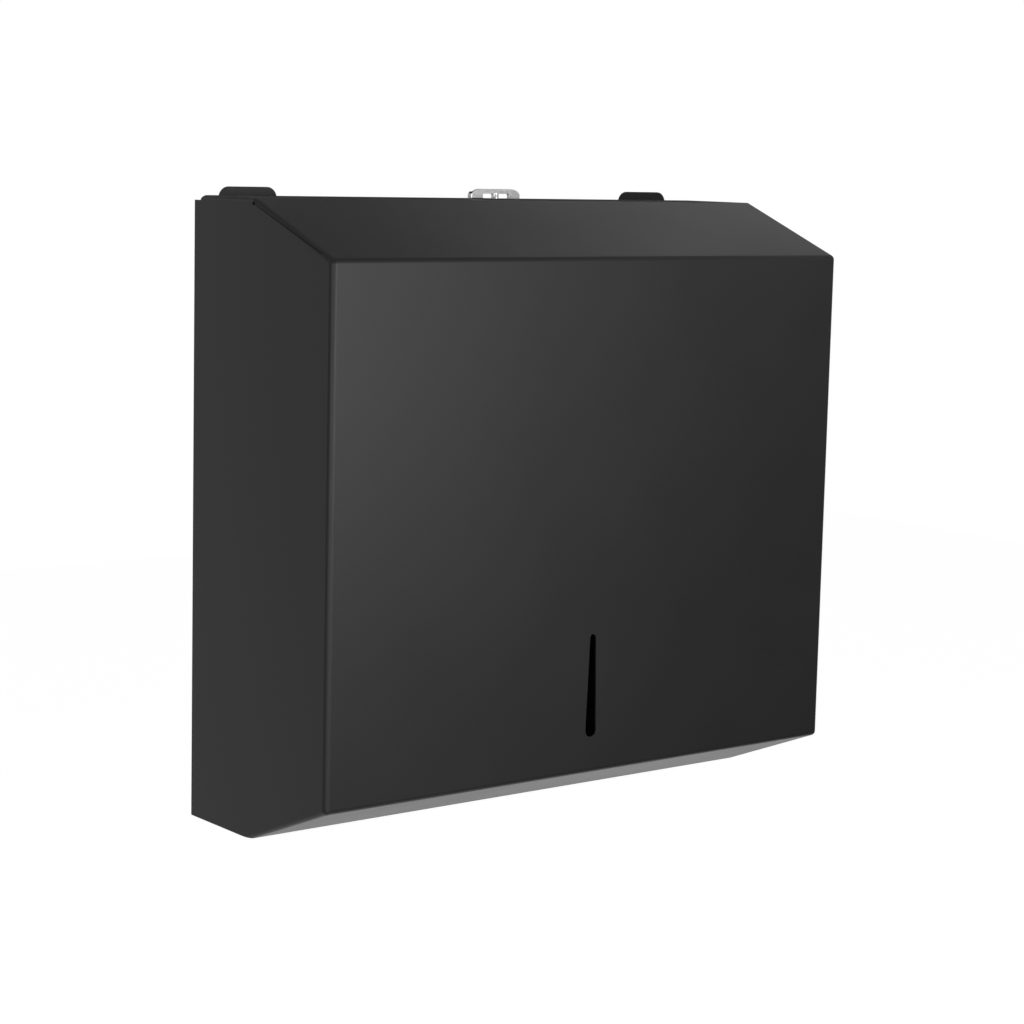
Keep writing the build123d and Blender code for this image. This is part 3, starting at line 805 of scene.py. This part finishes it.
@dataclass
class Latch:
    """The quarter-turn latch: bushing with its thread, nut, washer, spindle, wing and cam."""

    dresser: Dresser
    barrel_radius_mm: float = 6.0
    bore_mm: float = 2.45
    post_bore_mm: float = 1.65
    step_mm: float = 0.25  # top of the wide bore, below the plate's face
    plate_mm: float = 0.3
    plate_edge_mm: float = 0.15
    pitch_mm: float = 1.0
    thread_depth_mm: float = 0.5
    thread_runout_mm: float = 1.2
    rows_a_pitch: int = 8
    nut_across_flats_mm: float = 17.0
    nut_bore_mm: float = 6.05
    nut_mouth_mm: float = 0.4  # bevel round both ends of the nut's bore
    nut_chamfer_deg: float = 30.0
    steps: int = 96

    def bushing(self) -> bpy.types.Object:
        """Round plate and threaded barrel.

        The barrel's radius is R - d |2 frac(h / p - t / 2 pi) - 1|, a helix of pitch p, and the
        depth d fades to nothing over the run-out below the plate.

        Returns:
            The bushing, in its place.
        """
        low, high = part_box("lock_bushing")
        foot = Vector(((low.x + high.x) / 2, (low.y + high.y) / 2, low.z))
        top, plate = high.z - low.z, metres(self.plate_mm)
        rim, edge = (high.x - low.x) / 2, metres(self.plate_edge_mm)
        outer, bore = metres(self.barrel_radius_mm), metres(self.bore_mm)
        pitch, thread = metres(self.pitch_mm), metres(self.thread_depth_mm)
        height = np.arange(top - plate, 0, -pitch / self.rows_a_pitch)[:, None]
        phase = (height / pitch - circle(self.steps)[None] / (2 * math.pi)) % 1
        depth = thread * np.clip((top - plate - height) / metres(self.thread_runout_mm), 0, 1)
        radius = outer - depth * np.abs(2 * phase - 1)
        barrel = np.stack((radius, np.broadcast_to(height, radius.shape)), axis=-1)
        post, step = metres(self.post_bore_mm), top - metres(self.step_mm)
        upper = [(post, top), (rim - edge, top), (rim, top - edge), (rim, top - plate)]
        lower = [(outer - thread, 0), (bore, 0), (bore, step), (post, step)]
        ends = [np.repeat(np.array(part)[:, None], self.steps, axis=1) for part in (upper, lower)]
        profile = np.concatenate((ends[0], barrel, ends[1]))
        grid = turned(profile, self.steps, foot, Vector((0, 0, 1)))
        return mesh_from_grids("threaded_lock_bushing", [grid], Wrap.ROUND, Wrap.ROUND)

    def nut(self) -> bpy.types.Object:
        """Hexagon nut with both faces turned to a cone at the corners.

        At angle t the flats lie at r = a / cos((t mod 60) - 30 degrees), and the faces fall away
        from the circle of radius a as (r - a) tan(chamfer).

        Returns:
            The nut, in its place.
        """
        low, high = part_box("lock_nut")
        foot, up = Vector(((low.x + high.x) / 2, (low.y + high.y) / 2, low.z)), Vector((0, 0, 1))
        tall, flat = high.z - low.z, metres(self.nut_across_flats_mm) / 2
        sixth = math.pi / 3
        start = up.orthogonal()
        angle = circle(self.steps) + math.atan2(start.y, start.x)
        corner = flat / np.cos(angle % sixth - sixth / 2)
        fall = (corner - flat) * math.tan(math.radians(self.nut_chamfer_deg))
        bore, bevel = metres(self.nut_bore_mm), metres(self.nut_mouth_mm)
        rows = (
            (bore, tall - bevel),
            (bore + bevel, tall),
            (flat, tall),
            (corner, tall - fall),
            (corner, fall),
            (flat, 0),
            (bore + bevel, 0),
            (bore, bevel),
        )
        profile = np.empty((len(rows), self.steps, 2))
        for ring, (radius, height) in zip(profile, rows):
            ring[:, 0], ring[:, 1] = radius, height
        grid = turned(profile, self.steps, foot, up)
        return mesh_from_grids("chamfered_lock_nut", [grid], Wrap.ROUND, Wrap.ROUND)

    def dress(self) -> None:
        """Finishes the latch from wing to cam screw."""
        for name in ("latch_wing", "latch_spindle", "wing_pin"):
            self.dresser.keep(name, BRIGHT_PLATE)
        for name in ("lock_washer", "latch_cam", "cam_washer", "cam_screw"):
            self.dresser.keep(name, ZINC_PLATE)
        self.dresser.stand_for(self.bushing(), "lock_bushing", Body.COVER, POWDER_COAT)
        self.dresser.stand_for(self.nut(), "lock_nut", Body.COVER, ZINC_PLATE)


@dataclass
class Buffers:
    """Moulded rubber pads on the top flange."""

    dresser: Dresser
    length_to_depth: float = 2.0
    squareness: float = 4.0
    rows: int = 12
    steps: int = 48

    def dress(self) -> None:
        """Stands a crowned pad for each CAD block.

        In plan a pad is the superellipse |x / a|^n + |y / b|^n = 1, and its height is
        H (1 - s^2n)^(1 / 2) at the share s of the way out from its middle.
        """
        low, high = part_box("cover_buffers")
        depth, tall, line = high.y - low.y, high.z - low.z, (low.y + high.y) / 2
        wide = self.length_to_depth * depth
        angle, power = circle(self.steps), 2 / self.squareness
        plan_x = np.sign(np.cos(angle)) * np.abs(np.cos(angle)) ** power * wide / 2
        plan_y = np.sign(np.sin(angle)) * np.abs(np.sin(angle)) ** power * depth / 2
        share = np.sin(np.linspace(0, math.pi / 2, self.rows))[:, None]
        crown = tall * np.sqrt(np.clip(1 - share ** (2 * self.squareness), 0, 1))
        grids = []
        for middle in (low.x + wide / 2, high.x - wide / 2):
            x, y = middle + share * plan_x, line + share * plan_y
            top = np.stack((x, y, np.broadcast_to(low.z + crown, x.shape)), axis=-1)
            foot = np.broadcast_to((middle, line, low.z), (1, self.steps, 3))
            grids.append(np.concatenate((top, foot)))
        pads = mesh_from_grids("crowned_buffers", grids, Wrap.OPEN, Wrap.ROUND)
        self.dresser.stand_for(pads, "cover_buffers", Body.WALL_FRAME, RUBBER)


# ---- Studio and camera ----


@dataclass(frozen=True)
class SoftLamp:
    """A square softbox, by where it stands, its side, its power and what it points at."""

    name: str
    place: Vec3
    side: float
    watts: float
    aim: Vec3 = FRONT_MIDDLE

    def build(self) -> None:
        """Makes the lamp and aims it."""
        light = bpy.data.lights.new(self.name, "AREA")
        light.shape = "SQUARE"
        light.size = self.side
        light.energy = self.watts
        lamp = add_object(self.name, light)
        lamp.location = self.place
        lamp.rotation_mode = "QUATERNION"
        lamp.rotation_quaternion = (Vector(self.aim) - lamp.location).to_track_quat("-Z", "Y")
        lamp.visible_camera = False


@dataclass(frozen=True)
class Screen:
    """A square cloth screen beside the set, which darkens what the object reflects from there."""

    name: str
    place: Vec3
    side: float
    aim: Vec3
    colour: str = "#303030"

    def build(self) -> None:
        """Makes the screen, square to its aim, and keeps it out of the camera's view."""
        middle = Vector(self.place)
        turn = (Vector(self.aim) - middle).to_track_quat("-Z", "Y")
        screen = square_sheet(self.name, self.side, middle, turn)
        screen.visible_camera = False
        material, tree = new_material(f"{self.name}_cloth")
        cloth = add_node(tree, "ShaderNodeBsdfDiffuse", inputs={"Color": linear(self.colour)})
        add_node(tree, "ShaderNodeOutputMaterial", inputs={"Surface": cloth.outputs["BSDF"]})
        screen.data.materials.append(material)


@dataclass
class Studio:
    """White surroundings, a pale floor below the wall-hung object, softboxes and dark screens."""

    floor_height: float = -1.3
    floor_side: float = 14.0
    floor_colour: str = "#f2f2f2"
    floor_glow: float = 0.81
    world_colour: str = "#ffffff"
    world_light: float = 0.2
    lamps: tuple[SoftLamp, ...] = (
        SoftLamp("key_softbox", (0.48, -1.55, 0.09), 0.55, 19.8),
        SoftLamp("front_softbox", (-0.06, -1.60, -0.10), 0.3, 5.9),
        SoftLamp("front_left_softbox", (-0.75, -1.41, -0.20), 0.3, 7.7),
        SoftLamp("left_softbox", (-1.31, -0.92, -0.05), 0.3, 6.3),
        SoftLamp("far_left_softbox", (-1.58, -0.28, 0.0), 0.3, 1.3),
        SoftLamp("rear_softbox", (1.21, 1.15, 1.18), 0.5, 2.0),
    )
    screens: tuple[Screen, ...] = (
        Screen("screen_above", (0.627, 0.377, 1.030), 0.785, (0, -0.07, 0.12)),
        Screen("screen_behind", (0.706, 1.038, 0.357), 0.856, (0, -0.03, 0.136)),
        Screen("screen_rear", (-0.081, 1.231, 1.240), 0.902, (-0.1, 0, 0.136)),
        Screen("screen_right", (0.713, -0.599, -0.356), 0.966, (0.1, -0.1, -0.05)),
    )

    def build_world(self) -> None:
        """White where it is seen, and softer as light on the object."""
        world = bpy.data.worlds.new("white_surroundings")
        world.use_nodes = True
        tree = world.node_tree
        tree.nodes.clear()
        strength = add_node(
            tree,
            "ShaderNodeMapRange",
            inputs={"Value": seen_directly(tree), "To Min": self.world_light, "To Max": 1.0},
        )
        white = add_node(
            tree,
            "ShaderNodeBackground",
            inputs={"Color": linear(self.world_colour), "Strength": strength.outputs["Result"]},
        )
        add_node(tree, "ShaderNodeOutputWorld", inputs={"Surface": white.outputs["Background"]})
        bpy.context.scene.world = world

    def build_floor(self) -> None:
        """A plain pale floor, which glows where it is seen, up to white outside the shadow."""
        middle = Vector((0, 0, self.floor_height))
        floor = square_sheet("studio_floor", self.floor_side, middle, Quaternion())
        material, tree = new_material("white_studio_floor")
        glow = add_node(
            tree,
            "ShaderNodeMapRange",
            inputs={"Value": seen_directly(tree), "To Min": 0.0, "To Max": self.floor_glow},
        )
        matte = add_node(tree, "ShaderNodeBsdfDiffuse", inputs={"Color": linear(self.floor_colour)})
        light = add_node(tree, "ShaderNodeEmission", inputs={"Strength": glow.outputs["Result"]})
        both = add_node(
            tree,
            "ShaderNodeAddShader",
            inputs={0: matte.outputs["BSDF"], 1: light.outputs["Emission"]},
        )
        add_node(tree, "ShaderNodeOutputMaterial", inputs={"Surface": both.outputs["Shader"]})
        floor.data.materials.append(material)

    def build(self) -> None:
        """World, floor, lamps and screens."""
        bpy.context.scene.view_settings.view_transform = "Standard"
        self.build_world()
        self.build_floor()
        for fitting in (*self.lamps, *self.screens):
            fitting.build()
        LOG.info("studio: %d softboxes, %d screens", len(self.lamps), len(self.screens))


@dataclass(frozen=True)
class Viewpoint:
    """The camera: where it stands, how it is turned and its lens."""

    place: Vec3 = (-0.704819, -0.951390, 0.154264)
    heading_deg: float = 37.9600  # from +Y towards +X
    tilt_deg: float = 7.8930  # below the horizon
    roll_deg: float = 1.3319
    lens_mm: float = 89.5195
    sensor_mm: float = 36.0

    def build(self) -> None:
        """Makes the camera and gives it to the scene.

        It starts looking down -Z and is turned by Rz(-heading) Rx(90 - tilt) Rz(roll).
        """
        camera = bpy.data.cameras.new("viewpoint")
        camera.lens = self.lens_mm
        camera.sensor_width = self.sensor_mm
        stand = add_object("viewpoint", camera)
        heading = Matrix.Rotation(math.radians(-self.heading_deg), 4, "Z")
        tilt = Matrix.Rotation(math.radians(90 - self.tilt_deg), 4, "X")
        roll = Matrix.Rotation(math.radians(self.roll_deg), 4, "Z")
        stand.matrix_world = Matrix.Translation(self.place) @ heading @ tilt @ roll
        bpy.context.scene.camera = stand


def main() -> None:
    """Loads the frame, dresses each sub-assembly in order, and sets up studio and camera."""
    logging.basicConfig(level=logging.INFO, format="%(name)s: %(message)s")
    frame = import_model()
    dresser = Dresser(frame["nodes"], Paintwork())
    Cabinet(dresser).dress()
    rivets = Fasteners(dresser)
    for node in ("tray_rivets", "guide_rivets", "keeper_rivets"):
        rivets.dress(node)
    Hinges(dresser).dress()
    Latch(dresser).dress()
    Buffers(dresser).dress()
    Studio().build()
    Viewpoint().build()


if __name__ == "__main__":
    main()
